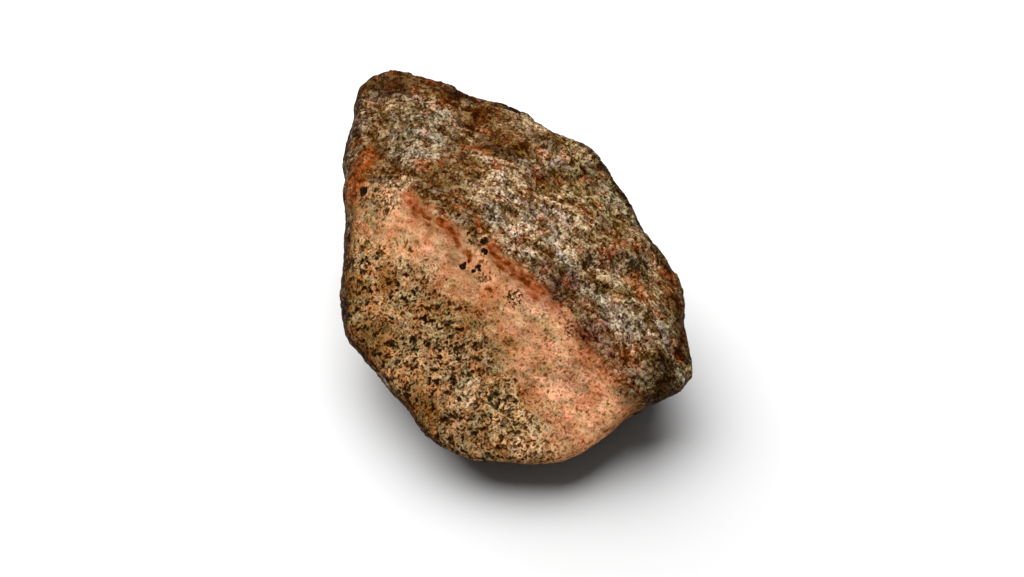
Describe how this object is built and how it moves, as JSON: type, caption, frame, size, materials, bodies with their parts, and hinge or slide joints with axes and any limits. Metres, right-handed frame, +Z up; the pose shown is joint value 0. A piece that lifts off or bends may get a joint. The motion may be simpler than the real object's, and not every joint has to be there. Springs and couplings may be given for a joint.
{
  "type": "martian meteorite",
  "caption": "Hand-sized natural stone with one smooth, speckled broken face and a rough, dark, coarse-grained rind; lies on its broad side.",
  "frame": {"origin": "on the surface that the stone lies on, under the middle of the stone", "axes": "+Z up, +Y to the back along the stone's length, +X to the right of someone who faces the smooth broken face"},
  "size_m": [0.0836, 0.0974, 0.0494],
  "materials": {
    "stone": "natural broken stone: salmon and tan matrix with black speckles on the front face, dark brown, grey and cream grains on the rind, dull with a slight glint on the grains"
  },
  "bodies": {
    "root": {"stone": "stone"}
  },
  "joints": []
}
